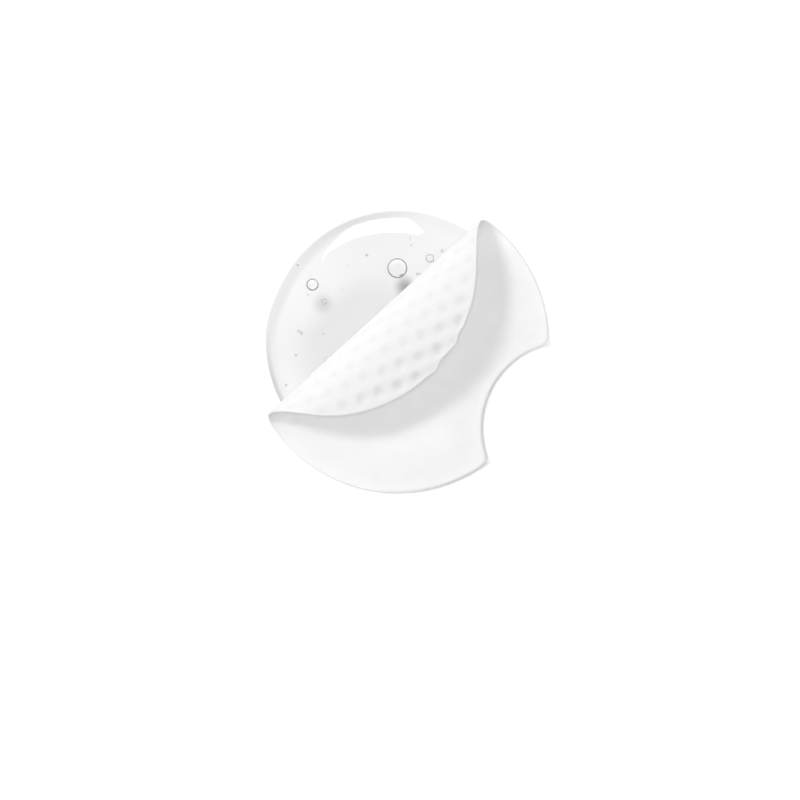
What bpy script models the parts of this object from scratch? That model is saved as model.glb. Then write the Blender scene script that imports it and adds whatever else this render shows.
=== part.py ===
"""A round toner pad of nonwoven cloth, peeled back over itself on its clear layer of toner.

The frame: the origin is the centre of the pad's disc, on the flat face that the toner lies on.
X runs along the fold, Y points to the side where the toner is bare, and Z points up.
"""

import math

import bmesh
import bpy
from mathutils.geometry import delaunay_2d_cdt

MM = 0.001

# The flat cut: a disc with a round bite out of its rim
PAD_RADIUS = 35.0 * MM
PAD_THICKNESS = 0.7 * MM
PAD_CORNER_RADIUS = 0.6 * MM
NOTCH_RADIUS = 20.0 * MM
NOTCH_DEPTH = 10.7 * MM
NOTCH_DIRECTION = math.radians(-69.0)

# The fold: FOLD_LINE is how far the fold's outer line lies from the disc's centre.
# The section curls up on a tight arc, comes over on a wide one, and droops to its free edge.
FOLD_LINE = 7.9 * MM
LOW_ARC_RADIUS = 4.2 * MM
HIGH_ARC_RADIUS = 11.5 * MM
DROOP_RADIUS = 18.0 * MM

# The embossed face: round dents in staggered rows, laid out from one dent near the middle
DENT_PITCH = 4.6 * MM
DENT_ROW_SPACING = 4.15 * MM
DENT_RADIUS = 1.35 * MM
DENT_FLOOR_RADIUS = 0.7 * MM
DENT_DEPTH = 0.35 * MM
DENT_ROW_DIRECTION = math.radians(22.0)
DENT_SIDES = 6
FIRST_DENT_X = -2.1 * MM
FIRST_DENT_Y = 1.2 * MM

# The toner: a flat drop with a rounded shoulder, a margin smaller than the pad all round.
# SHOULDER_CURVE is the power that the shoulder falls with, from the flat top to the rim.
TONER_HEIGHT = 1.3 * MM
TONER_MARGIN = 4.2 * MM
TONER_SHOULDER = 5.6 * MM
TONER_CORNER_RADIUS = 7.5 * MM
SHOULDER_CURVE = 1.5
SHOULDER_RINGS = 6

# The pad lies this far above the toner, and its rim comes down over this width
LAYER_CLEARANCE = 0.3 * MM
DRAPE_WIDTH = 10.0 * MM
CREASE_SOFTNESS = 2.0 * MM

OUTLINE_STEP = 1.7 * MM

CLOTH_COLOUR = (0.90, 0.91, 0.91, 1.0)
TONER_COLOUR = (0.93, 0.95, 0.95, 1.0)

NOTCH_DISTANCE = PAD_RADIUS - NOTCH_DEPTH + NOTCH_RADIUS
NOTCH_CENTRE = (
    NOTCH_DISTANCE * math.cos(NOTCH_DIRECTION),
    NOTCH_DISTANCE * math.sin(NOTCH_DIRECTION),
)
PAD_RISE = TONER_HEIGHT + LAYER_CLEARANCE
HALF_WALL = PAD_THICKNESS / 2
CURL_START = FOLD_LINE - HALF_WALL - LOW_ARC_RADIUS


def clear_scene():
    for old in list(bpy.data.objects):
        bpy.data.objects.remove(old, do_unlink=True)


def arc_points(centre, radius, start, sweep, step):
    """Points along an arc, without its last one, so that arcs join end to end."""
    count = max(3, round(abs(sweep) * radius / step))
    angles = [start + sweep * i / count for i in range(count)]
    return [(centre[0] + radius * math.cos(a), centre[1] + radius * math.sin(a)) for a in angles]


def notched_outline(inset, corner):
    """The pad's outline, moved inwards by inset, with its two notch corners rounded.

    It is worked out with the notch's centre on +X, and then turned to the notch's direction.
    """
    disc = PAD_RADIUS - inset
    bite = NOTCH_RADIUS + inset
    to_disc = disc - corner
    to_bite = bite + corner
    corner_x = (NOTCH_DISTANCE**2 + to_disc**2 - to_bite**2) / (2 * NOTCH_DISTANCE)
    corner_y = math.sqrt(to_disc**2 - corner_x**2)
    on_disc = math.atan2(corner_y, corner_x)
    on_bite = math.atan2(corner_y, NOTCH_DISTANCE - corner_x)
    corner_sweep = on_disc + on_bite
    corner_step = min(OUTLINE_STEP, corner / 2)
    around = arc_points((0, 0), disc, on_disc, 2 * (math.pi - on_disc), OUTLINE_STEP)
    around += arc_points((corner_x, -corner_y), corner, -on_disc, corner_sweep, corner_step)
    around += arc_points(
        (NOTCH_DISTANCE, 0), bite, math.pi + on_bite, -2 * on_bite, OUTLINE_STEP
    )
    around += arc_points(
        (corner_x, corner_y), corner, on_disc - corner_sweep, corner_sweep, corner_step
    )
    c, s = math.cos(NOTCH_DIRECTION), math.sin(NOTCH_DIRECTION)
    return [(c * x - s * y, s * x + c * y) for x, y in around]


def inside_by(x, y):
    """How far a point of the flat disc lies inside its outline, softened at the notch's corners."""
    from_rim = PAD_RADIUS - math.hypot(x, y)
    from_notch = math.hypot(x - NOTCH_CENTRE[0], y - NOTCH_CENTRE[1]) - NOTCH_RADIUS
    overlap = max(CREASE_SOFTNESS - abs(from_rim - from_notch), 0) / CREASE_SOFTNESS
    return min(from_rim, from_notch) - overlap**2 * CREASE_SOFTNESS / 4


def pad_underside(x, y):
    """Height of the pad's underside: flat over the toner, and down to the ground at the rim."""
    t = min(max(inside_by(x, y) / DRAPE_WIDTH, 0), 1)
    return PAD_RISE * t * t * (3 - 2 * t)


def curl(length):
    """Where the sheet's middle is after a length past the curl's start, and its direction."""
    low = LOW_ARC_RADIUS * math.pi / 2
    high = HIGH_ARC_RADIUS * math.pi / 2
    if length <= low:
        angle = length / LOW_ARC_RADIUS
        out = LOW_ARC_RADIUS * math.sin(angle)
        up = LOW_ARC_RADIUS * (1 - math.cos(angle))
        return out, up, angle
    if length <= low + high:
        angle = math.pi / 2 + (length - low) / HIGH_ARC_RADIUS
        out = LOW_ARC_RADIUS - HIGH_ARC_RADIUS * (1 - math.sin(angle))
        up = LOW_ARC_RADIUS - HIGH_ARC_RADIUS * math.cos(angle)
        return out, up, angle
    angle = math.pi + (length - low - high) / DROOP_RADIUS
    out = LOW_ARC_RADIUS - HIGH_ARC_RADIUS + DROOP_RADIUS * math.sin(angle)
    up = LOW_ARC_RADIUS + HIGH_ARC_RADIUS - DROOP_RADIUS * (1 + math.cos(angle))
    return out, up, angle


def folded(x, y):
    """Where a point of the flat cut's smooth face comes to lie on the folded pad."""
    height = pad_underside(x, min(y, CURL_START)) + HALF_WALL
    out, up, angle = curl(max(y - CURL_START, 0))
    return (
        x,
        min(y, CURL_START) + out - HALF_WALL * math.sin(angle),
        height + up + HALF_WALL * math.cos(angle),
    )


def dent_places():
    """Centres of the dents over the whole disc, and the crests between them."""

    def on_disc(along, across):
        x = FIRST_DENT_X + c * along - s * across
        y = FIRST_DENT_Y + s * along + c * across
        return x, y

    c, s = math.cos(DENT_ROW_DIRECTION), math.sin(DENT_ROW_DIRECTION)
    rows = math.ceil(PAD_RADIUS / DENT_ROW_SPACING) + 1
    columns = math.ceil(PAD_RADIUS / DENT_PITCH) + 1
    dents = []
    crests = []
    for row in range(-rows, rows + 1):
        for column in range(-columns, columns + 1):
            along = (column + 0.5 * (row % 2)) * DENT_PITCH
            across = row * DENT_ROW_SPACING
            dents.append(on_disc(along, across))
            for right, up in ((0.5, 1 / 3), (0, 2 / 3)):
                crest = on_disc(along + right * DENT_PITCH, across + up * DENT_ROW_SPACING)
                crests.append(crest)
    return dents, crests


def make_pad(collection, material):
    """The folded sheet: its smooth face is laid out flat, folded, and given its wall."""
    outline = notched_outline(0, PAD_CORNER_RADIUS)
    flat = list(outline)
    deep = set()
    dents, crests = dent_places()
    for x, y in dents:
        if inside_by(x, y) < DENT_RADIUS + OUTLINE_STEP / 2:
            continue
        for i in range(DENT_SIDES):
            a = DENT_ROW_DIRECTION + 2 * math.pi * i / DENT_SIDES
            deep.add(len(flat))
            for radius in (DENT_FLOOR_RADIUS, DENT_RADIUS):
                flat.append((x + radius * math.cos(a), y + radius * math.sin(a)))
    flat += [p for p in crests if inside_by(*p) > OUTLINE_STEP / 2]

    border = [list(range(len(outline)))]
    points, _, faces, origins, _, _ = delaunay_2d_cdt(flat, [], border, 1, MM * MM)
    mesh = bpy.data.meshes.new("pad")
    mesh.from_pydata([folded(*p) for p in points], [], faces)
    pad = bpy.data.objects.new("pad", mesh)
    collection.objects.link(pad)

    wall = pad.vertex_groups.new(name="wall")
    for index, sources in enumerate(origins):
        thin = any(source in deep for source in sources)
        share = 1 - DENT_DEPTH / PAD_THICKNESS if thin else 1
        wall.add([index], share, "REPLACE")

    solid = pad.modifiers.new("wall", "SOLIDIFY")
    solid.thickness = PAD_THICKNESS
    solid.offset = -1
    solid.vertex_group = wall.name
    solid.use_quality_normals = True
    mesh.materials.append(material)
    mesh.shade_smooth()
    mesh.set_sharp_from_angle(angle=math.radians(40))
    return pad


def make_toner(collection, material):
    """The toner: the pad's outline drawn in by the margin, raised ring by ring to a flat top."""
    shape = bmesh.new()
    around = notched_outline(TONER_MARGIN, TONER_CORNER_RADIUS)
    rim = [shape.verts.new((x, y, 0)) for x, y in around]
    top = shape.faces.new(rim)
    top.normal_update()
    for ring in range(1, SHOULDER_RINGS + 1):
        bmesh.ops.inset_individual(
            shape, faces=[top], thickness=TONER_SHOULDER / SHOULDER_RINGS, use_even_offset=True
        )
        height = TONER_HEIGHT * (1 - (1 - ring / SHOULDER_RINGS) ** SHOULDER_CURVE)
        for corner in top.verts:
            corner.co.z = height
    shape.faces.new(reversed(rim))
    bmesh.ops.triangulate(shape, faces=shape.faces[:])
    bmesh.ops.recalc_face_normals(shape, faces=shape.faces[:])
    mesh = bpy.data.meshes.new("toner_layer")
    shape.to_mesh(mesh)
    shape.free()
    mesh.materials.append(material)
    mesh.shade_smooth()
    mesh.set_sharp_from_angle(angle=math.radians(30))
    toner = bpy.data.objects.new("toner_layer", mesh)
    collection.objects.link(toner)
    return toner


def make_material(name, colour, roughness, transmission):
    material = bpy.data.materials.new(name)
    material.use_nodes = True
    shader = material.node_tree.nodes["Principled BSDF"]
    shader.inputs["Base Color"].default_value = colour
    shader.inputs["Roughness"].default_value = roughness
    shader.inputs["Metallic"].default_value = 0.0
    shader.inputs["Transmission Weight"].default_value = transmission
    return material


def main():
    clear_scene()
    collection = bpy.data.collections.new("toner_pad")
    bpy.context.scene.collection.children.link(collection)
    make_pad(collection, make_material("nonwoven", CLOTH_COLOUR, 0.85, 0.0))
    make_toner(collection, make_material("toner", TONER_COLOUR, 0.05, 1.0))


main()
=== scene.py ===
# %% [markdown]
# # A toner pad, peeled back on its layer of toner
#
# The real thing is one disc of soft white nonwoven cloth with a round bite out of its rim. It is
# soaked in toner and lies on a clear layer of it, and one side is peeled back over the rest, so
# that the embossed face shows. The solids of the frame give every piece its place and size. Here
# the cloth and the liquid get their fine surface, on top of those solids.

# %% Load the frame
import math

import bmesh
import bpy
import numpy as np
from mathutils.geometry import delaunay_2d_cdt
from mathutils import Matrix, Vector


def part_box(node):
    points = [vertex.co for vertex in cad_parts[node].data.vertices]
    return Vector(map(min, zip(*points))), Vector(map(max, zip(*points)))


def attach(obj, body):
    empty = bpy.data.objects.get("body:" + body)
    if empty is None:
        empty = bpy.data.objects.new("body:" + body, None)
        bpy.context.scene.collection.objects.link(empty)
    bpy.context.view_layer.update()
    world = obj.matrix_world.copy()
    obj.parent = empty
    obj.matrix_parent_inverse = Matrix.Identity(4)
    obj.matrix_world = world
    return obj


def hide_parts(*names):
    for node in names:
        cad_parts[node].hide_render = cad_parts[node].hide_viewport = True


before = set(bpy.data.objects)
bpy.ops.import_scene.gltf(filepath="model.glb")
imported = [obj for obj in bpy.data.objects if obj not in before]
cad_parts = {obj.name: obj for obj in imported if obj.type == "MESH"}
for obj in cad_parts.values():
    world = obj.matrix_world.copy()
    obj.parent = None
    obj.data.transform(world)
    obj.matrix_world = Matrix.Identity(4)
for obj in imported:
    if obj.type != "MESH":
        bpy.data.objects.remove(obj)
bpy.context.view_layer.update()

MM = 0.001
print("nodes:", sorted(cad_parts))

# %% [markdown]
# ## Where the camera stands
#
# The pad lies flat and is seen from straight above, through a long lens from a metre away, so
# that the raised fold keeps its place over the disc. In the picture the fold runs up to the
# right, so the camera is rolled about the upright axis. The two directions of the picture, right
# and up, are kept as vectors, because the lamps are placed by them too.

# %% Camera
PICTURE_WIDTH = 185.4 * MM
PICTURE_MIDDLE = (-8.6 * MM, -10.3 * MM)
FOLD_SLANT = math.radians(42.3)
LENS = 200.0
SENSOR = 36.0
FARTHEST_SEEN = 20.0

picture_right = np.array([math.cos(FOLD_SLANT), -math.sin(FOLD_SLANT), 0.0])
picture_up = np.array([math.sin(FOLD_SLANT), math.cos(FOLD_SLANT), 0.0])

bpy.ops.object.select_all(action="DESELECT")
camera_height = PICTURE_WIDTH * LENS / SENSOR
bpy.ops.object.camera_add(
    location=(*PICTURE_MIDDLE, camera_height), rotation=(0, 0, -FOLD_SLANT)
)
camera = bpy.context.object
camera.name = "camera"
camera.data.lens = LENS
camera.data.sensor_width = SENSOR
camera.data.clip_end = FARTHEST_SEEN
bpy.context.scene.camera = camera
print(f"camera {camera_height:.3f} m up, with a lens of {LENS:.0f} mm")

# %% [markdown]
# ## One way to write shader maths
#
# A material is a net of nodes, and long sums are hard to read as nodes. This small class wraps
# one output socket, so that a mask can be written as plain Python, such as 1 - ring * 0.5. Every
# other node is made by its one method, node, from its kind, its settings and its inputs. The
# last three methods are short names for nodes that are used often.


# %% A wrapper for sockets
class Wire:
    """An output socket of a material, which can be added, multiplied and so on."""

    def __init__(self, tree, socket=None):
        self.tree = tree
        self.socket = socket

    def node(self, kind, settings=None, inputs=None, output=0):
        made = self.tree.nodes.new(kind)
        for name, value in (settings or {}).items():
            setattr(made, name, value)
        for name, value in (inputs or {}).items():
            if isinstance(value, Wire):
                self.tree.links.new(value.socket, made.inputs[name])
            else:
                made.inputs[name].default_value = value
        return Wire(self.tree, made.outputs[output])

    def maths(self, operation, *values):
        return self.node("ShaderNodeMath", {"operation": operation}, dict(enumerate(values)))

    def __add__(self, other):
        return self.maths("ADD", self, other)

    def __sub__(self, other):
        return self.maths("SUBTRACT", self, other)

    def __rsub__(self, other):
        return self.maths("SUBTRACT", other, self)

    def __mul__(self, other):
        return self.maths("MULTIPLY", self, other)

    __radd__ = __add__
    __rmul__ = __mul__

    def mix(self, share, first, second):
        inputs = {"Factor": share, 6: first, 7: second}
        return self.node("ShaderNodeMix", {"data_type": "RGBA"}, inputs, output=2)

    def smooth_step(self, start, end, low=0.0, high=1.0):
        settings = {"interpolation_type": "SMOOTHSTEP"}
        spans = {"Value": self, "From Min": start, "From Max": end, "To Min": low, "To Max": high}
        return self.node("ShaderNodeMapRange", settings, spans)

    def measure(self, name):
        return self.node("ShaderNodeAttribute", {"attribute_name": name}, None, output=2)


# %% [markdown]
# ## Two helpers for materials
#
# The first starts a material that holds only its output node. The second tells whether a ray
# looks at a surface, straight or by way of a mirror or a glass, or only gathers light there. By
# it the background can be plain white to look at without throwing more light on the pad.


# %% Helpers for materials
def new_material(name):
    """An empty material, with its first wire and its output node."""
    material = bpy.data.materials.new(name)
    material.use_nodes = True
    tree = material.node_tree
    tree.nodes.clear()
    return material, Wire(tree), tree.nodes.new("ShaderNodeOutputMaterial")


def seen_share(wire):
    """One for a ray that looks at a surface directly, in a mirror or through glass, else none."""
    path = wire.node("ShaderNodeLightPath")
    kinds = ("Is Camera Ray", "Is Glossy Ray", "Is Transmission Ray")
    direct, mirrored, through = (Wire(wire.tree, path.socket.node.outputs[kind]) for kind in kinds)
    return wire.maths("MAXIMUM", wire.maths("MAXIMUM", direct, mirrored), through)


# %% [markdown]
# ## The floor
#
# A plain pale floor. It takes light as a pale grey surface does, and adds a little light of its
# own for the camera, for reflections and for what is seen through the toner. Together they come
# to white where the floor is fully lit, and a shadow on it still shows.

# %% Floor
FLOOR_SIZE = 6.0
FLOOR_DROP = 0.05 * MM
FLOOR_GREY = 0.82
FLOOR_GLOW = 0.19

bpy.ops.object.select_all(action="DESELECT")
bpy.ops.mesh.primitive_plane_add(size=FLOOR_SIZE, location=(0, 0, -FLOOR_DROP))
bpy.ops.object.transform_apply(location=True)
floor = bpy.context.object
floor.name = "floor"

floor_material, wire, output = new_material("pale_floor")
paint = wire.node("ShaderNodeBsdfDiffuse", None, {"Color": (FLOOR_GREY,) * 3 + (1.0,)})
glow = wire.node("ShaderNodeEmission", None, {"Strength": seen_share(wire) * FLOOR_GLOW})
both = wire.node("ShaderNodeAddShader", None, {0: paint, 1: glow})
wire.tree.links.new(both.socket, output.inputs["Surface"])
floor.data.materials.append(floor_material)

# %% [markdown]
# ## Light
#
# A white world gives an even fill, as a tent of white cloth does round a small product. A lamp
# straight overhead adds to it without a shadow that would show from above. A key lamp from
# beyond the fold gives the soft shadow that lets the flap stand out, and a wide low one from the
# same side brings out the dents. The lamps aren't seen in the liquid or through it, where each
# would be a hard white spot. A lamp's level is the share of white that it gives to a level
# surface.

# %% World and lamps
WORLD_FILL = 0.405
TOP_LEVEL = 0.34
TOP_SIZE = math.radians(5.0)
KEY_LEVEL = 0.245
KEY_ELEVATION = math.radians(59.3)
KEY_TURN = math.radians(13.5)
KEY_SIZE = math.radians(10.0)
SIDE_LEVEL = 0.07
SIDE_ELEVATION = math.radians(22.0)
SIDE_SIZE = math.radians(40.0)
LAMP_DISTANCE = 1.0

world = bpy.data.worlds.new("white_tent")
bpy.context.scene.world = world
world.use_nodes = True
world.node_tree.nodes.clear()
wire = Wire(world.node_tree)
strength = seen_share(wire) * (1.0 - WORLD_FILL) + WORLD_FILL
sky = wire.node("ShaderNodeBackground", None, {"Strength": strength, "Color": (1.0,) * 4})
output = world.node_tree.nodes.new("ShaderNodeOutputWorld")
wire.tree.links.new(sky.socket, output.inputs["Surface"])


def add_sun(name, level, elevation, size, turn=0.0):
    """A distant lamp on the side of the bare toner, turned about the upright axis."""
    bpy.ops.object.select_all(action="DESELECT")
    bpy.ops.object.light_add(
        type="SUN",
        location=(0, LAMP_DISTANCE * math.cos(elevation), LAMP_DISTANCE * math.sin(elevation)),
        rotation=(elevation - math.pi / 2, 0, turn),
    )
    sun = bpy.context.object
    sun.name = name
    sun.data.angle = size
    sun.data.energy = level * math.pi / math.sin(elevation)
    sun.visible_glossy = False
    sun.visible_transmission = False
    print(f"{name}: {sun.data.energy:.2f} W/m2")


add_sun("top", TOP_LEVEL, math.pi / 2, TOP_SIZE)
add_sun("key", KEY_LEVEL, KEY_ELEVATION, KEY_SIZE, KEY_TURN)
add_sun("side", SIDE_LEVEL, SIDE_ELEVATION, SIDE_SIZE)
bpy.context.scene.view_settings.view_transform = "Standard"

# %% [markdown]
# ## The softbox in the toner
#
# A glossy liquid shows a lamp as a mirror does. The bright crescent on the toner's shoulder is
# such an image, of a white panel far above, so the panel's outline gives the crescent its shape.
# The outline is uneven, and its corners are given one by one. The panel lights nothing and
# throws no shadow: only mirror rays can see it.

# %% Softbox
SOFTBOX_HEIGHT = 1.0
SOFTBOX_CORNERS = (
    (0.013, 0.09), (0.075, 0.34), (0.078, 0.50), (0.066, 0.605), (0.035, 0.645), (-0.13, 0.648),
    (-0.23, 0.625), (-0.28, 0.58), (-0.293, 0.38), (-0.26, 0.305), (-0.19, 0.21),
    (-0.233, 0.305), (-0.19, 0.31), (-0.108, 0.296), (-0.04, 0.222), (-0.004, 0.15),
)
SOFTBOX_RADIANCE = 9.0


def in_picture(right, up, height):
    """A place from its reach to the right and up in the picture, and its height."""
    return right * picture_right + up * picture_up + np.array([0.0, 0.0, height])


softbox_mesh = bpy.data.meshes.new("softbox")
corners = [in_picture(right, up, SOFTBOX_HEIGHT) for right, up in SOFTBOX_CORNERS]
softbox_mesh.from_pydata([tuple(corner) for corner in corners], [], [range(len(corners))])
softbox = bpy.data.objects.new("softbox", softbox_mesh)
bpy.context.scene.collection.objects.link(softbox)
softbox_material, wire, output = new_material("softbox_white")
shine = wire.node("ShaderNodeEmission", None, {"Strength": SOFTBOX_RADIANCE})
wire.tree.links.new(shine.socket, output.inputs["Surface"])
softbox.data.materials.append(softbox_material)
softbox.visible_camera = False
softbox.visible_diffuse = False
softbox.visible_transmission = False
softbox.visible_shadow = False
print(f"softbox with {len(corners)} corners, {len(softbox_mesh.polygons)} face")

# %% [markdown]
# ## The pad's flat cut
#
# Cloth starts flat, so the sheet is made flat first: a disc with a round bite, its two corners
# slightly rounded. The outline is four arcs that touch. They are worked out from their radii, so
# that the same values give the outline of the toner later.

# %% The outline of the cut
PAD_RADIUS = -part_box("pad")[0][0]
PAD_CORNER_RADIUS = 0.6 * MM
NOTCH_RADIUS = 19.8 * MM
NOTCH_DEPTH = 10.5 * MM
NOTCH_DIRECTION = math.radians(-69.0)
OUTLINE_STEP = 0.36 * MM
FEWEST_STEPS = 8

notch_distance = PAD_RADIUS - NOTCH_DEPTH + NOTCH_RADIUS
notch_centre = notch_distance * np.array([math.cos(NOTCH_DIRECTION), math.sin(NOTCH_DIRECTION)])


def outline_arcs(inset, corner):
    """The outline's four arcs, each with its centre, radius, start and sweep, notch on +X."""
    disc = PAD_RADIUS - inset
    bite = NOTCH_RADIUS + inset
    to_disc = disc - corner
    to_bite = bite + corner
    corner_x = (notch_distance**2 + to_disc**2 - to_bite**2) / (2 * notch_distance)
    corner_y = math.sqrt(to_disc**2 - corner_x**2)
    on_disc = math.atan2(corner_y, corner_x)
    on_bite = math.atan2(corner_y, notch_distance - corner_x)
    sweep = on_disc + on_bite
    return [
        ((0.0, 0.0), disc, on_disc, 2 * (math.pi - on_disc)),
        ((corner_x, -corner_y), corner, -on_disc, sweep),
        ((notch_distance, 0.0), bite, math.pi + on_bite, -2 * on_bite),
        ((corner_x, corner_y), corner, on_disc - sweep, sweep),
    ]


def outline_points(inset, corner):
    """Points along the four arcs, turned so that the notch lies where it belongs."""
    around = []
    for centre, radius, start, sweep in outline_arcs(inset, corner):
        count = max(FEWEST_STEPS, round(abs(sweep) * radius / OUTLINE_STEP))
        angles = start + sweep * np.arange(count) / count
        x = centre[0] + radius * np.cos(angles)
        y = centre[1] + radius * np.sin(angles)
        around.append(np.stack([x, y], axis=1))
    x, y = np.concatenate(around).T
    c, s = math.cos(NOTCH_DIRECTION), math.sin(NOTCH_DIRECTION)
    return np.stack([c * x - s * y, s * x + c * y], axis=1)


cut = outline_points(0.0, PAD_CORNER_RADIUS)
print(f"outline of {len(cut)} points")

# %% [markdown]
# ## Filling the cut
#
# The outline alone would give one big face, and one face can't bend. A few more outlines are
# drawn just inside it, close together, because the cut edge is rounded there, and a fine
# honeycomb of points fills the rest. A Delaunay triangulation joins all of them by the most even
# triangles that there are, and leaves the bite open.

# %% Fill the cut with points
CREASE_SOFTNESS = 2.0 * MM
EDGE_RINGS = (0.06 * MM, 0.15 * MM, 0.28 * MM, 0.46 * MM)
GRID_STEP = 0.37 * MM
GRID_MARGIN = 0.68 * MM
GRID_SPARE = 1.2


def inside_by(x, y):
    """How far a point of the flat cut lies inside its outline, softened at the notch's corners."""
    from_rim = PAD_RADIUS - np.hypot(x, y)
    from_bite = np.hypot(x - notch_centre[0], y - notch_centre[1]) - NOTCH_RADIUS
    overlap = np.maximum(CREASE_SOFTNESS - np.abs(from_rim - from_bite), 0) / CREASE_SOFTNESS
    return np.minimum(from_rim, from_bite) - overlap**2 * CREASE_SOFTNESS / 4


def honeycomb(step, margin):
    """Staggered rows of points over the cut, that far inside its outline.

    The rows lie closer than a step, so there are some more of them than steps to the rim.
    """
    reach = math.ceil(PAD_RADIUS / step * GRID_SPARE)
    row, column = np.mgrid[-reach:reach + 1, -reach:reach + 1]
    x = ((column + 0.5 * (row % 2)) * step).ravel()
    y = (row * step * math.sqrt(3) / 2).ravel()
    keep = inside_by(x, y) > margin
    return np.stack([x[keep], y[keep]], axis=1)


rings = [outline_points(inset, PAD_CORNER_RADIUS - inset) for inset in EDGE_RINGS]
flat = np.concatenate([cut, *rings, honeycomb(GRID_STEP, GRID_MARGIN)])
border = [list(range(len(cut)))]
points, _, triangles, sources, _, _ = delaunay_2d_cdt(flat.tolist(), [], border, 1, MM * MM)
flat = np.array([tuple(p) for p in points])
rim = [0] * len(cut)
for index, origins in enumerate(sources):
    for source in origins:
        if source < len(cut):
            rim[source] = index
print(f"flat cut: {len(flat)} points, {len(triangles)} triangles")

# %% [markdown]
# ## Folding the cut
#
# The flat part rests on the toner and comes down to the floor at its rim. The peeled part curls
# up on a tight arc, comes over on a wide one and droops to its free edge. The wide arc opens a
# little from the fold's left end to its right, as cloth lifted by one corner does, and the
# tight one opens at both ends of the fold, where nothing holds it down. Bending on arcs keeps
# nearly every length, as real cloth does. A simulation could fold the sheet too, but the arcs
# are known here from the solids, and they keep the fold where it belongs.

# %% The curve of the fold
LOW_ARC_RADIUS = 4.2 * MM
END_ARC_RADIUS = 6.8 * MM
END_START = 19.0 * MM
END_REACH = 15.0 * MM
HIGH_ARC_RADII = (11.3 * MM, 12.9 * MM)
HIGH_ARC_SPAN = 25.0 * MM
DROOP_RADIUS = 28.0 * MM


def low_radius(x):
    """The radius of the tight arc, which opens towards the two ends of the fold."""
    share = np.clip((np.abs(x) - END_START) / END_REACH, 0, 1)
    return LOW_ARC_RADIUS + (END_ARC_RADIUS - LOW_ARC_RADIUS) * share**2 * (3 - 2 * share)


def curl(x, length):
    """How far out and up the sheet's middle is, a length past the start of its curl."""
    tight = low_radius(x)
    wide = np.interp(x, (-HIGH_ARC_SPAN, HIGH_ARC_SPAN), HIGH_ARC_RADII)
    low = tight * math.pi / 2
    high = wide * math.pi / 2
    on_low = np.clip(length, 0, low) / tight
    on_high = np.clip(length - low, 0, high) / wide
    on_droop = np.maximum(length - low - high, 0) / DROOP_RADIUS
    out = tight * np.sin(on_low) - wide * (1 - np.cos(on_high))
    up = tight * (1 - np.cos(on_low)) + wide * np.sin(on_high)
    out -= DROOP_RADIUS * np.sin(on_droop)
    up -= DROOP_RADIUS * (1 - np.cos(on_droop))
    return out, up


curl_height = curl(np.zeros(1), np.array([LOW_ARC_RADIUS + HIGH_ARC_RADII[1]]) * math.pi / 2)[1]
print(f"the curl rises {curl_height[0] / MM:.1f} mm near its middle")

# %% [markdown]
# ## Laying the sheet out on the curve
#
# Every point of the cut keeps its place along the fold. Before the fold line it lies on the
# drape over the toner, and past it on the curl. Both faces are later set off from this middle
# sheet, so its normal is needed too. It is measured from the slope both ways, which also holds
# where the arcs change their radius.

# %% Places on the folded sheet
PAD_THICKNESS = 0.7 * MM
FOLD_LINE = 7.9 * MM
TONER_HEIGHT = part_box("toner_layer")[1][2]
LAYER_CLEARANCE = 0.3 * MM
DRAPE_WIDTH = 10.0 * MM
NORMAL_STEP = 0.02 * MM

half_wall = PAD_THICKNESS / 2
pad_rise = TONER_HEIGHT + LAYER_CLEARANCE


def middle(x, y):
    """Where a point of the flat cut comes to lie, in the middle of the cloth."""
    curl_start = FOLD_LINE - half_wall - low_radius(x)
    level = np.minimum(y, curl_start)
    inward = np.clip(inside_by(x, level) / DRAPE_WIDTH, 0, 1)
    height = pad_rise * inward**2 * (3 - 2 * inward) + half_wall
    out, up = curl(x, y - curl_start)
    return np.stack([x, level + out, height + up], axis=1)


def outward(x, y):
    """The direction that the smooth face points in, from the sheet's slope both ways."""
    along = middle(x + NORMAL_STEP, y) - middle(x - NORMAL_STEP, y)
    across = middle(x, y + NORMAL_STEP) - middle(x, y - NORMAL_STEP)
    normal = np.cross(along, across)
    return normal / np.linalg.norm(normal, axis=1, keepdims=True)


print(f"the flat part lies {pad_rise / MM:.1f} mm above the floor")

# %% [markdown]
# ## The pattern of dents
#
# One face of the cloth is embossed with round dents in staggered rows, with soft pillows between
# them. The other is nearly smooth, with a much finer and shallower pattern. Hundreds of dents
# pressed in one by one would come out no better than a measure, so each point is asked how far
# it lies from the nearest dent. The rows wander a little, as they do in soft cloth.

# %% Measure the dents
DENT_PITCH = 4.52 * MM
DENT_ROW_SPACING = 4.28 * MM
DENT_ROW_DIRECTION = math.radians(22.4)
FIRST_DENT = (-2.4 * MM, 33.6 * MM)
DENT_RADIUS = 1.9 * MM
WANDER = 0.12 * MM
WANDER_LENGTH = 9.0 * MM
FINE_SHARE = 0.75


def on_rows(x, y):
    """How far a place lies along the rows of dents and across them, from the first dent."""
    c, s = math.cos(DENT_ROW_DIRECTION), math.sin(DENT_ROW_DIRECTION)
    along = c * (x - FIRST_DENT[0]) + s * (y - FIRST_DENT[1])
    across = c * (y - FIRST_DENT[1]) - s * (x - FIRST_DENT[0])
    return along, across


def from_dent(x, y, share):
    """Distance to the nearest place of the staggered pattern, drawn at a share of its size."""
    along, across = on_rows(
        x + WANDER * np.sin(y * 2 * math.pi / WANDER_LENGTH + x / WANDER_LENGTH),
        y + WANDER * np.sin(x * 2 * math.pi / WANDER_LENGTH - y / WANDER_LENGTH),
    )
    along = along / share
    across = across / share
    nearest = np.full_like(x, DENT_PITCH)
    below = np.floor(across / DENT_ROW_SPACING)
    for row in (below, below + 1):
        shift = 0.5 * (row % 2)
        column = np.round(along / DENT_PITCH - shift) + shift
        gap = np.hypot(along - column * DENT_PITCH, across - row * DENT_ROW_SPACING)
        nearest = np.minimum(nearest, gap)
    return nearest * share


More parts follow.
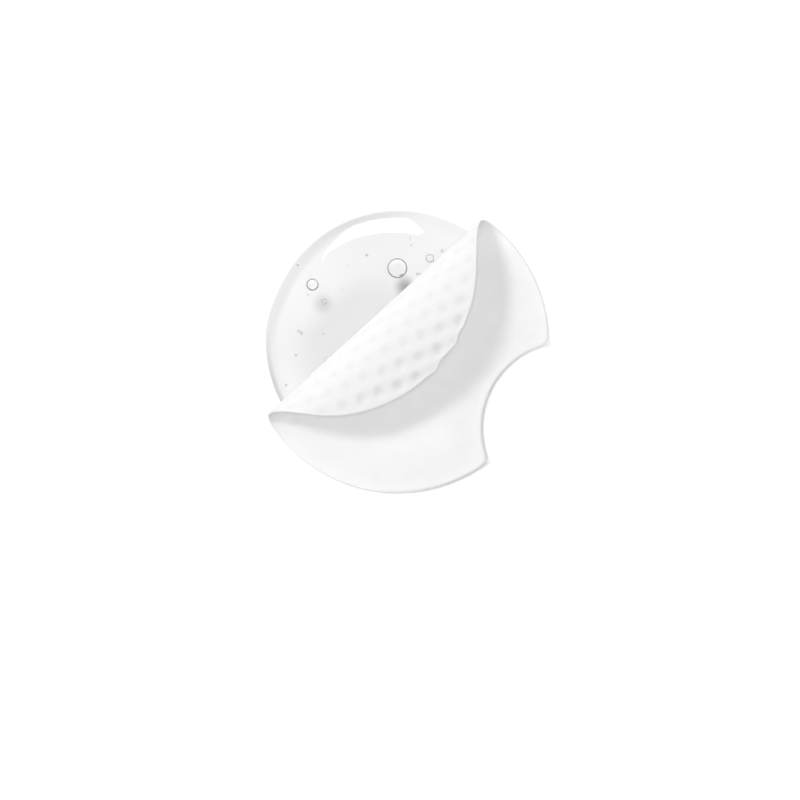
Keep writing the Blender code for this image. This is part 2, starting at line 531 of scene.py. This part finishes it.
def soft_dent(distance, radius):
    """A round-bottomed dent: one in its middle, nothing at its radius, and level at both."""
    t = np.clip(1 - distance / radius, 0, 1)
    return t * t * (3 - 2 * t)


x, y = flat.T
dent = soft_dent(from_dent(x, y, 1.0), DENT_RADIUS)
fine_dent = soft_dent(from_dent(x, y, FINE_SHARE), DENT_RADIUS * FINE_SHARE)
print(f"{np.mean(dent > 0.5):.0%} of the points lie deep in a dent")

# %% [markdown]
# ## Pressing the pattern in
#
# The dents don't reach the cut edge, where the wall gets thin and round instead. A shallow
# groove joins the dents of a row. The tight curl of the fold stretches the cloth and pulls the
# dents flatter there, so they come up slowly past the fold and are full only near the free edge.

# %% How deep each point is pressed
DENT_DEPTH = 0.5 * MM
FINE_DEPTH = 0.035 * MM
GROOVE_SHARE = 0.22
DENT_EDGE_FADE = 1.0 * MM
STRETCH_START = 13.0 * MM
STRETCH_END = 32.0 * MM
STRETCHED_SHARE = 0.10
EDGE_ROUNDING = 0.3 * MM
EDGE_SHARE = 0.3

rounding = np.clip(inside_by(x, y) / EDGE_ROUNDING, 0, 1)
wall = half_wall * (EDGE_SHARE + (1 - EDGE_SHARE) * (1 - (1 - rounding) ** 2))
away_from_edge = np.clip(inside_by(x, y) / DENT_EDGE_FADE, 0, 1)
past_fold = np.clip((y - STRETCH_START) / (STRETCH_END - STRETCH_START), 0, 1)
unstretched = STRETCHED_SHARE + (1 - STRETCHED_SHARE) * past_fold
row_phase = 2 * math.pi * on_rows(x, y)[1] / DENT_ROW_SPACING
groove = GROOVE_SHARE * (0.5 + 0.5 * np.cos(row_phase))
pressed = (dent + groove * (1 - dent)) * away_from_edge * unstretched
dents = DENT_DEPTH * pressed
fine = FINE_DEPTH * fine_dent * away_from_edge
print(f"dents up to {dents.max() / MM:.2f} mm deep, fine pattern up to {fine.max() / MM:.3f} mm")

# %% [markdown]
# ## The waves of the free edge
#
# Where two rows of dents meet the free edge, they push it out a little, so the edge isn't a
# clean arc there. The points near that part of the edge are moved outwards and inwards in step
# with the rows, before the cut is folded. Then both faces are set off from the middle sheet.

# %% Move the edge, and fold both faces
SCALLOP_PLACE = (5.5 * MM, 34.5 * MM)
SCALLOP_REACH = 9.0 * MM
SCALLOP_WIDTH = 2.5 * MM
SCALLOP_DEPTH = 0.35 * MM
SCALLOP_LEAN = 0.3

near_edge = np.clip(1 - inside_by(x, y) / SCALLOP_WIDTH, 0, 1)
from_middle = np.hypot(x - SCALLOP_PLACE[0], y - SCALLOP_PLACE[1])
in_reach = np.clip(1 - (from_middle / SCALLOP_REACH) ** 2, 0, 1)
scallop = SCALLOP_DEPTH * (np.cos(row_phase) - SCALLOP_LEAN * np.sin(2 * row_phase))
scallop = scallop * near_edge**2 * in_reach
x = x * (1 + scallop / PAD_RADIUS)
y = y * (1 + scallop / PAD_RADIUS)
smooth_face = middle(x, y) + outward(x, y) * (wall - fine)[:, None]
embossed_face = middle(x, y) - outward(x, y) * (wall - dents)[:, None]
print(f"the edge moves by up to {np.abs(scallop).max() / MM:.2f} mm")

# %% [markdown]
# ## Sewing the faces into one closed sheet
#
# The triangles of the flat cut serve both faces, turned over for the embossed one. A strip of
# quads along the outline joins them, so the sheet is one closed body. The flat places are kept
# as the cloth's own map, so that its fibres follow the fold.

# %% The pad's mesh
count = len(flat)
faces = [tuple(t) for t in triangles]
faces += [tuple(count + corner for corner in reversed(t)) for t in triangles]
for here, there in zip(rim, rim[1:] + rim[:1]):
    faces.append((there, here, count + here, count + there))

pad_mesh = bpy.data.meshes.new("pad_cloth")
pad_mesh.from_pydata(np.concatenate([smooth_face, embossed_face]).tolist(), [], faces)
pad_mesh.shade_smooth()
corners = np.empty(len(pad_mesh.loops), dtype=np.int32)
pad_mesh.loops.foreach_get("vertex_index", corners)
on_cut = flat[corners % count] / (2 * PAD_RADIUS) + 0.5
pad_mesh.uv_layers.new(name="cut").uv.foreach_set("vector", on_cut.astype(np.float32).ravel())
pad_cloth = bpy.data.objects.new("pad_cloth", pad_mesh)
bpy.context.scene.collection.objects.link(pad_cloth)
pad_mesh.calc_loop_triangles()
pad_box = [round(side / MM, 1) for side in pad_cloth.dimensions]
print(f"pad: {len(pad_mesh.loop_triangles)} triangles, box {pad_box} mm")

# %% [markdown]
# ## Painted shade and light on the cloth
#
# Pressed cloth is a little greyer than loose cloth. Three measures are kept at every point of
# both faces for the finish. The first is painted shade: how much greyer the cloth is drawn where
# less light reaches it. It grows towards the fold on the smooth face, where the flap hangs over
# it, and is highest on the embossed face where that isn't stretched. It is taken away again as
# painted light at the two ends of the fold, in the flap's shadow, and along part of the flap's cut
# edge, over the shade of its rounding. The others are how far a point is pressed in, and painted
# shade along the cut edge round the bite, on the side away from the light.

# %% The pad's painted shade and light
FLAP_SHADE_PLACES = (13.0 * MM, 20.0 * MM, 24.0 * MM, 33.0 * MM)
FLAP_SHADE_SHARES = (0.26, 0.77, 1.0, 0.74)
BASE_SHADE_PLACES = (-22.0 * MM, -14.0 * MM, 0.0)
BASE_SHADE_SHARES = (0.21, 0.29, 0.47)
PAINTED_LIGHT_TIPS = ((32.5 * MM, 5.0 * MM, 9.5 * MM), (-33.5 * MM, 6.0 * MM, 5.5 * MM))
PAINTED_LIGHT_EDGE_WIDTH = 0.4 * MM
PAINTED_LIGHT_EDGE_PLACES = (-16.0 * MM, -7.0 * MM, 4.0 * MM, 12.0 * MM)
PAINTED_LIGHT_EDGE_SHARES = (0.2, 1.0, 1.0, 0.0)
EDGE_SHADE_PLACE = (1.4 * MM, -30.0 * MM)
EDGE_SHADE_START = 14.0 * MM
EDGE_SHADE_END = 31.0 * MM
EDGE_SHADE_INSET = 0.33 * MM
EDGE_SHADE_WIDTH = 0.48 * MM

x, y = flat.T
# Painted shade: the smooth face is drawn greyer towards the fold, under the flap.
base_painted_shade = np.interp(y, BASE_SHADE_PLACES, BASE_SHADE_SHARES)
# Painted light: the grey is taken away at the two ends of the fold, in the flap's shadow.
for x_tip, y_tip, reach in PAINTED_LIGHT_TIPS:
    near_tip = np.clip(1 - np.hypot(x - x_tip, y - y_tip) / reach, 0, 1)
    base_painted_shade *= 1 - near_tip**2 * (3 - 2 * near_tip)
# Painted light: part of the flap's cut edge is drawn paler, over the shade of its rounding.
at_edge = np.clip(1 - inside_by(x, y) / PAINTED_LIGHT_EDGE_WIDTH, 0, 1)
edge_painted_light = at_edge * np.interp(x, PAINTED_LIGHT_EDGE_PLACES, PAINTED_LIGHT_EDGE_SHARES)
# Painted shade: the embossed face is drawn greyer by place along the flap.
flap_painted_shade = np.interp(y, FLAP_SHADE_PLACES, FLAP_SHADE_SHARES) * (1 - edge_painted_light)
# Painted shade: a darker line along the cut edge round the bite, fading away from the light.
from_edge_shade = np.hypot(x - EDGE_SHADE_PLACE[0], y - EDGE_SHADE_PLACE[1])
edge_shade_reach = np.clip((EDGE_SHADE_END - from_edge_shade) / (EDGE_SHADE_END - EDGE_SHADE_START), 0, 1)
edge_painted_shade = np.clip(1 - np.abs(inside_by(x, y) - EDGE_SHADE_INSET) / EDGE_SHADE_WIDTH, 0, 1) * edge_shade_reach
cloth_measures = {
    "painted_shade_and_light": (base_painted_shade, flap_painted_shade),
    "pressed": (np.zeros(count), pressed),
    "painted_edge_shade": (edge_painted_shade, edge_painted_shade),
}
for name, (on_smooth, on_embossed) in cloth_measures.items():
    values = np.concatenate([on_smooth, on_embossed]).astype(np.float32)
    pad_mesh.attributes.new(name, "FLOAT", "POINT").data.foreach_set("value", values)
    print(f"{name}: {values.min():.2f} to {values.max():.2f}")

# %% [markdown]
# ## White nonwoven
#
# Nonwoven is a felt of fine fibres that lie every way. Up close it looks like many short
# strokes crossing, so three stretched noises in three directions are laid over each other and
# the highest one wins, as the top fibre does. The cloth is matt, a little mottled, and not quite
# white. The three measures of the last step are laid over its white one after the other: the
# painted shade and light, the grey of the dents, partly of fibres pressed together and partly
# painted shade in the hollows, and the painted shade along the cut edge round the bite.

# %% The cloth's material
# The lightest white and the shaded grey between which the painted shade and light are mixed.
LIGHTEST_CLOTH_WHITE = (0.985, 0.985, 0.985, 1.0)
SHADED_CLOTH_GREY = (0.805, 0.805, 0.805, 1.0)
PRESSED_AND_SHADED_GREY = (0.73, 0.73, 0.73, 1.0)
EDGE_SHADE_GREY = (0.62, 0.62, 0.62, 1.0)
MOTTLED_GREY = (0.80, 0.80, 0.80, 1.0)
MOTTLE_SHARE = 0.16
MOTTLE_RANGE = (0.62, 0.4)
MOTTLE_SIZE = 4.2
FIBRES_PER_MM = 5.0
FIBRE_STRETCH = 9.0
FIBRE_TURNS = (0.0, 60.0, 120.0)
FIBRE_HEIGHT = 0.03 * MM
FIBRE_RELIEF = 0.6

cloth_material, wire, output = new_material("white_nonwoven")
cut_map = wire.node("ShaderNodeUVMap", {"uv_map": "cut"})
width_in_mm = 2 * PAD_RADIUS / MM
fibres = None
for turn in FIBRE_TURNS:
    stretched = wire.node("ShaderNodeMapping", None, {
        "Vector": cut_map,
        "Rotation": (0, 0, math.radians(turn)),
        "Scale": (width_in_mm * FIBRES_PER_MM / FIBRE_STRETCH, width_in_mm * FIBRES_PER_MM, 1.0),
    })
    strokes = wire.node("ShaderNodeTexNoise", None, {
        "Vector": stretched,
        "Scale": 1.0,
        "Detail": 2.0,
        "Distortion": 0.6,
    })
    fibres = strokes if fibres is None else wire.maths("MAXIMUM", fibres, strokes)
mottle = wire.node("ShaderNodeTexNoise", None, {
    "Vector": cut_map,
    "Scale": width_in_mm / MOTTLE_SIZE,
    "Detail": 3.0,
})
# Painted shade and painted light, from the first measure.
colour = wire.mix(wire.measure("painted_shade_and_light"), LIGHTEST_CLOTH_WHITE, SHADED_CLOTH_GREY)
# The dents' grey is partly the pressed fibres' own and partly painted shade in the hollows.
colour = wire.mix(wire.measure("pressed"), colour, PRESSED_AND_SHADED_GREY)
# Painted shade along the cut edge round the bite.
colour = wire.mix(wire.measure("painted_edge_shade"), colour, EDGE_SHADE_GREY)
mottled = (fibres * 0.5 + mottle * 0.5).smooth_step(*MOTTLE_RANGE, 0.0, MOTTLE_SHARE)
colour = wire.mix(mottled, colour, MOTTLED_GREY)
relief = {"Strength": FIBRE_RELIEF, "Distance": FIBRE_HEIGHT, "Height": fibres}
bump = wire.node("ShaderNodeBump", None, relief)
cloth = wire.node("ShaderNodeBsdfPrincipled", None, {
    "Base Color": colour,
    "Roughness": 0.9,
    "Specular IOR Level": 0.2,
    "Normal": bump,
})
wire.tree.links.new(cloth.socket, output.inputs["Surface"])
pad_mesh.materials.append(cloth_material)
print(f"{cloth_material.name}: {len(cloth_material.node_tree.nodes)} nodes")

# %% [markdown]
# ## The layer of toner
#
# The liquid is a pancake drop under the pad, drawn in a little from the pad's outline. Its
# outline is drawn as by hand: one point is spun round the centre of each arc in turn. Where the
# last arc meets the first, two points become one, and the closed outline is filled.

# %% Draw the toner's outline
TONER_MARGIN = 4.2 * MM
TONER_CORNER_RADIUS = 7.5 * MM
TONER_SHIFT = 0.35 * MM
SPIN_STEP = 0.5 * MM
SAME_PLACE = 0.01 * MM

arcs = outline_arcs(TONER_MARGIN, TONER_CORNER_RADIUS)
centre, radius, start, _ = arcs[0]
bpy.ops.object.select_all(action="DESELECT")
bpy.ops.mesh.primitive_plane_add(
    size=MM, location=(radius * math.cos(start), radius * math.sin(start), 0)
)
toner = bpy.context.object
toner.name = "toner"
bpy.ops.object.transform_apply(location=True)
bpy.ops.object.mode_set(mode="EDIT")
bpy.ops.mesh.merge(type="CENTER")
for centre, radius, _, sweep in arcs:
    steps = max(FEWEST_STEPS, round(abs(sweep) * radius / SPIN_STEP))
    bpy.ops.mesh.spin(steps=steps, angle=-sweep, center=(*centre, 0), axis=(0, 0, 1))
bpy.ops.mesh.select_all(action="SELECT")
bpy.ops.mesh.remove_doubles(threshold=SAME_PLACE)
bpy.ops.mesh.edge_face_add()
shape = bmesh.from_edit_mesh(toner.data)
print(f"toner outline: {len(shape.verts)} points, faces {len(shape.faces)}")

# %% [markdown]
# ## The shoulder of the drop
#
# A drop that wets the floor has a low rounded shoulder and a flat top. The face is inset again
# and again while it rises, less each time, and that gives the curve. A last narrow ring keeps
# the flat top from being shaded as part of the shoulder. Then the underside is closed, and the
# drop is turned so that its bite lies under the pad's.

# %% Raise the shoulder
TONER_SHOULDER = 5.8 * MM
SHOULDER_CURVE = 1.5
SHOULDER_RINGS = 28
COLLAR = 0.05 * MM
SHARPEST_SMOOTH = math.radians(15)

shape.faces.ensure_lookup_table()
if shape.faces[0].normal.z < 0:
    bpy.ops.mesh.flip_normals()
height = 0.0
for ring in range(1, SHOULDER_RINGS + 1):
    higher = TONER_HEIGHT * (1 - (1 - ring / SHOULDER_RINGS) ** SHOULDER_CURVE)
    bpy.ops.mesh.inset(thickness=TONER_SHOULDER / SHOULDER_RINGS, depth=higher - height)
    height = higher
bpy.ops.mesh.inset(thickness=COLLAR, depth=0)
bpy.ops.mesh.select_all(action="DESELECT")
bpy.ops.mesh.select_mode(type="EDGE")
bpy.ops.mesh.select_non_manifold()
bpy.ops.mesh.edge_face_add()
bpy.ops.mesh.select_all(action="SELECT")
bpy.ops.mesh.normals_make_consistent(inside=False)
bpy.ops.object.mode_set(mode="OBJECT")
toner.rotation_euler.z = NOTCH_DIRECTION
toner.location.x = TONER_SHIFT
bpy.ops.object.transform_apply(location=True, rotation=True)
bpy.ops.object.shade_smooth_by_angle(angle=SHARPEST_SMOOTH)
print("toner box", [round(d / MM, 2) for d in toner.dimensions], "mm")

# %% [markdown]
# ## Bubbles
#
# Air is caught in the layer as flat round bubbles and as specks. A bubble is drawn clear in its
# middle and with a painted dark ring at its rim, painted shade for the light that turns away
# there, so each point keeps how far inside the rim it lies, in millimetres, and how far towards
# the lower side of the picture. A bubble also has a strength for its painted ring, and a speck,
# painted dark all over, has a darkness. One bubble is modelled, and the others are copies. The
# numbers of each are its place along X and Y and its size in millimetres, and then its strength
# or darkness.

# %% One bubble, and its copies
BUBBLE_LEVEL = 0.62 * MM
BUBBLE_HALF_HEIGHT = 0.45 * MM
BUBBLES = (
    (11.5, 12.7, 2.3, 1.0), (-5.6, 23.1, 1.4, 1.0), (18.6, 9.3, 1.0, 0.8),
    (-6.25, 18.35, 0.7, 0.55), (-14.5, 7.0, 1.6, 0.4),
)
SPECKS = (
    (-5.1, 28.7, 0.34, 0.14), (8.3, 19.7, 0.34, 0.14), (14.0, 8.6, 0.32, 0.12),
    (14.5, 8.2, 0.26, 0.10), (21.8, 8.7, 0.34, 0.16), (18.5, 16.1, 0.26, 0.07),
    (18.2, 15.6, 0.24, 0.06), (17.4, 14.5, 0.28, 0.07), (-15.2, 17.3, 0.38, 0.12),
    (-15.1, 16.5, 0.40, 0.13), (-19.4, 13.6, 0.32, 0.12), (-25.8, 10.0, 0.32, 0.11),
    (-8.0, 22.0, 0.26, 0.10), (-1.4, 17.6, 0.24, 0.07), (3.2, 20.9, 0.26, 0.05),
    (10.9, 11.0, 0.24, 0.25), (11.3, 10.9, 0.22, 0.22), (-11.4, 12.9, 0.30, 0.05),
)

bpy.ops.object.select_all(action="DESELECT")
bpy.ops.mesh.primitive_uv_sphere_add(segments=48, ring_count=24, radius=1.0)
master = bpy.context.object
for name in ("inside", "lower_side", "ring_share", "speck"):
    master.data.attributes.new(name, "FLOAT", "POINT")
across = [math.hypot(point.co.x, point.co.y) for point in master.data.vertices]
below = [-float(np.dot(picture_up, np.array(point.co))) for point in master.data.vertices]

placed = [(*bubble, 0.0) for bubble in BUBBLES]
placed += [(px, py, size, 0.0, darkness) for px, py, size, darkness in SPECKS]
copies = []
for px, py, size, ring_share, darkness in placed:
    copy = bpy.data.objects.new("bubble", master.data.copy())
    bpy.context.scene.collection.objects.link(copy)
    bubble_measures = {
        "inside": [(1 - a) * size for a in across],
        "lower_side": below,
        "ring_share": [ring_share] * len(across),
        "speck": [darkness] * len(across),
    }
    for name, values in bubble_measures.items():
        copy.data.attributes[name].data.foreach_set("value", values)
    copy.location = (px * MM, py * MM, BUBBLE_LEVEL)
    copy.scale = (size * MM, size * MM, min(size * MM, BUBBLE_HALF_HEIGHT))
    copies.append(copy)
bpy.data.objects.remove(master, do_unlink=True)
for copy in copies:
    copy.select_set(True)
bpy.context.view_layer.objects.active = copies[0]
bpy.ops.object.join()
bubbles = bpy.context.object
bubbles.name = "bubbles"
bpy.ops.object.transform_apply(location=True, rotation=True, scale=True)
bpy.ops.object.shade_smooth()
bubbles.visible_shadow = False
print(f"{len(placed)} bubbles, {len(bubbles.data.polygons)} faces")

# %% [markdown]
# ## Clear toner
#
# Toner is nearly water: clear, with only a touch of grey. The tint is laid on in steps, each
# over the last, by the distance from a place. It is deeper in front of the fold, as painted
# shade of the fold, and weaker under the crescent, as painted light.

# %% The tint of the middle
TONER_TINT = (0.81, 0.81, 0.81, 1.0)
SHADE_TINT = (0.718, 0.718, 0.718, 1.0)
SHADE_MIDDLE = (-6.0 * MM, 8.8 * MM)
SHADE_WIDENING = 1.65
SHADE_REACH = (5.5 * MM, 12.0 * MM)
PAINTED_LIGHT_TINT = (0.87, 0.87, 0.87, 1.0)
PAINTED_LIGHT_PLACE = (-9.0 * MM, 26.5 * MM)
PAINTED_LIGHT_WIDENING = 2.0
PAINTED_LIGHT_REACH = 13.0 * MM

toner_material, wire, output = new_material("clear_toner")
place = wire.node("ShaderNodeTexCoord", None, None, output=3)


def away_from(x, y, widening=1.0):
    """Distance over the floor from a place, in rings that are wider along X by a factor."""
    squeeze = {0: place, 1: (1 / widening, 1, 0)}
    squeezed = wire.node("ShaderNodeVectorMath", {"operation": "MULTIPLY"}, squeeze)
    ends = {0: squeezed, 1: (x / widening, y, 0)}
    return wire.node("ShaderNodeVectorMath", {"operation": "DISTANCE"}, ends, output=1)


# Painted shade in front of the fold, then painted light under the crescent.
shade = away_from(*SHADE_MIDDLE, SHADE_WIDENING).smooth_step(*SHADE_REACH, 1.0, 0.0)
tint = wire.mix(shade, TONER_TINT, SHADE_TINT)
clear = away_from(*PAINTED_LIGHT_PLACE, PAINTED_LIGHT_WIDENING).smooth_step(0.0, PAINTED_LIGHT_REACH, 1.0, 0.0)
tint = wire.mix(clear, tint, PAINTED_LIGHT_TINT)
print(f"middle: {len(toner_material.node_tree.nodes)} nodes")

# %% [markdown]
# ## Painted shade along the rim
#
# The slope of the shoulder bends the light, and the grey that this gives is painted shade: a
# soft grey band follows the rim, with a fine darker line in it on two sides. Both are placed by
# how far a point lies inside the rim. The band is paler on the right and narrower on the left,
# and the last fraction of a millimetre fades to clear.

# %% The tint of the rim
RIM_SHADE_TINT = (0.765, 0.765, 0.765, 1.0)
PALE_RIM_SHADE_TINT = (0.805, 0.805, 0.805, 1.0)
BAND_REACH = (4.0 * MM, 2.2 * MM)
PALE_PLACE = (24.0 * MM, 19.0 * MM)
PALE_REACH = 22.0 * MM
RIM_LINE_SHADE_TINT = (0.58, 0.58, 0.58, 1.0)
LINE_REACH = (2.5 * MM, 1.5 * MM)
FADE_REACH = (0.95 * MM, 0.25 * MM)
RIM_LINE_SHADES = ((-27.8 * MM, 10.0 * MM, 18.0 * MM, 1.0), (12.5 * MM, 27.5 * MM, 19.0 * MM, 0.45))
NARROW_PLACE = (-28.0 * MM, 11.0 * MM)
NARROW_REACH = (9.0 * MM, 24.0 * MM)
NARROWING = 1.05 * MM

# Painted shade: the grey band and the darker line along the rim.
from_rim = (PAD_RADIUS - TONER_MARGIN) - away_from(TONER_SHIFT, 0.0)
inward = from_rim + away_from(*NARROW_PLACE).smooth_step(*NARROW_REACH, NARROWING, 0.0)
pale = away_from(*PALE_PLACE).smooth_step(0.0, PALE_REACH, 1.0, 0.0)
rim_shade_tint = wire.mix(pale, RIM_SHADE_TINT, PALE_RIM_SHADE_TINT)
tint = wire.mix(inward.smooth_step(*BAND_REACH, 0.0, 1.0), tint, rim_shade_tint)
line = inward.smooth_step(*LINE_REACH, 0.0, 1.0)
darkness = 0.0
for x_dark, y_dark, reach, depth in RIM_LINE_SHADES:
    darkness = away_from(x_dark, y_dark).smooth_step(0.0, reach, depth, 0.0) + darkness
tint = wire.mix(line * darkness, tint, RIM_LINE_SHADE_TINT)
tint = wire.mix(inward.smooth_step(*FADE_REACH, 0.0, 1.0), tint, (1.0,) * 4)
print(f"with the rim: {len(toner_material.node_tree.nodes)} nodes")

# %% [markdown]
# ## Soft dark spots
#
# Two bubbles cast a soft shadow on the floor under the layer. A shadow that comes through a
# liquid is slow to render clean, so the two are laid over the tint as round spots.

# %% The spots
SPOT_TINT = (0.36, 0.36, 0.36, 1.0)
SPOTS = ((9.9 * MM, 8.35 * MM, 3.3 * MM, 1.0), (-6.8 * MM, 18.2 * MM, 3.3 * MM, 0.46))

for x_spot, y_spot, size, depth in SPOTS:
    tint = wire.mix(away_from(x_spot, y_spot).smooth_step(0.0, size, depth, 0.0), tint, SPOT_TINT)
print(f"with {len(SPOTS)} spots: {len(toner_material.node_tree.nodes)} nodes")

# %% [markdown]
# ## A skin over the liquid
#
# The toner's skin is glossy and bends the light that passes it. Light from the lamps goes
# straight through to the floor, as the second shader in each mix lets it, because a thin layer
# throws no shadow. The liquid wets the floor, so its underside has no skin of its own and is let
# through as well. With a skin there, light would be caught in the layer, and its rim would look
# black from the side. A look through the layer meets the skin only once, which gives half of the
# tint, so the colour is squared.

# %% The toner's material
TONER_IOR = 1.34
TONER_ROUGHNESS = 0.02
UNDERSIDE_LEVEL = 0.004 * MM
liquid = wire.node("ShaderNodeBsdfPrincipled", None, {
    "Base Color": wire.node("ShaderNodeGamma", None, {"Color": tint, "Gamma": 2.0}),
    "Roughness": TONER_ROUGHNESS,
    "IOR": TONER_IOR,
    "Transmission Weight": 1.0,
})
see_through = wire.node("ShaderNodeBsdfTransparent")
path = wire.node("ShaderNodeLightPath")
outputs = path.socket.node.outputs
for_lamps = Wire(wire.tree, outputs["Is Shadow Ray"])
for_fill = Wire(wire.tree, outputs["Is Diffuse Ray"])
height_up = wire.node("ShaderNodeSeparateXYZ", None, {"Vector": place}, output=2)
on_floor = wire.maths("LESS_THAN", height_up, UNDERSIDE_LEVEL)
lit = wire.node("ShaderNodeMixShader", None, {0: for_lamps, 1: liquid, 2: see_through})
filled = wire.node("ShaderNodeMixShader", None, {0: for_fill, 1: lit, 2: see_through})
wetted = wire.node("ShaderNodeMixShader", None, {0: on_floor, 1: filled, 2: see_through})
wire.tree.links.new(wetted.socket, output.inputs["Surface"])
toner.data.materials.append(toner_material)
print(f"{toner_material.name}: index of refraction {TONER_IOR}")

# %% [markdown]
# ## The film of a bubble
#
# A bubble is seen by its dark ring alone, which is painted shade. The ring is fullest towards
# the lower side, the side away from the light, and there is a faint painted glint inside it on
# the upper side, whose white film glows a little by itself. A speck is too small for a ring and
# is painted dark all over. All of it is one thin film whose opacity follows the four measures.

# %% The bubbles' material
FILM_SHADE = (0.16, 0.16, 0.16, 1.0)
FILM_HIGHLIGHT = (1.0, 1.0, 1.0, 1.0)
FILM_HIGHLIGHT_GLOW = 0.5
RING_WIDTH = (0.45, 0.15)
RING_SHADE_OPACITY = (0.40, 0.68)
INSIDE_GLOW_SHARE = 0.02
GLINT_WIDTH = (1.1, 0.6)
GLINT_SHARE = 0.12
GLINT_SIDE = (0.0, -0.8)
SPECK_FROM = 0.01

bubble_material, wire, output = new_material("air_bubble")
inside = wire.measure("inside")
low = wire.measure("lower_side")
speck = wire.measure("speck")
is_speck = wire.maths("GREATER_THAN", speck, SPECK_FROM)
# Painted shade: the ring and the specks are a dark film, fuller on the lower side.
ring = inside.smooth_step(*RING_WIDTH) * wire.measure("ring_share")
dark = wire.maths("MAXIMUM", ring, is_speck)
# Painted highlight: a glint on the upper side and a faint glow inside, from a glowing film.
glint = inside.smooth_step(*GLINT_WIDTH, 0.0, GLINT_SHARE) * low.smooth_step(*GLINT_SIDE)
clear = (1.0 - dark) * (glint + INSIDE_GLOW_SHARE)
film = wire.node("ShaderNodeBsdfPrincipled", None, {
    "Base Color": wire.mix(dark, FILM_HIGHLIGHT, FILM_SHADE),
    "Roughness": 0.3,
    "Emission Color": wire.mix(dark, FILM_HIGHLIGHT, (0.0, 0.0, 0.0, 1.0)),
    "Emission Strength": FILM_HIGHLIGHT_GLOW,
    "Alpha": ring * low.smooth_step(-1.0, 1.0, *RING_SHADE_OPACITY) + speck + clear,
})
wire.tree.links.new(film.socket, output.inputs["Surface"])
bubbles.data.materials.append(bubble_material)
print(f"{bubble_material.name}: {len(bubble_material.node_tree.nodes)} nodes")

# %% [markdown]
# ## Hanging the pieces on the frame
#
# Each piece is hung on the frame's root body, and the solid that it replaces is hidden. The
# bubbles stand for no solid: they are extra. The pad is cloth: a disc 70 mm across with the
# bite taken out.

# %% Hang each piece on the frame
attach(pad_cloth, "root")
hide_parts("pad")
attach(toner, "root")
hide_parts("toner_layer")
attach(bubbles, "root")
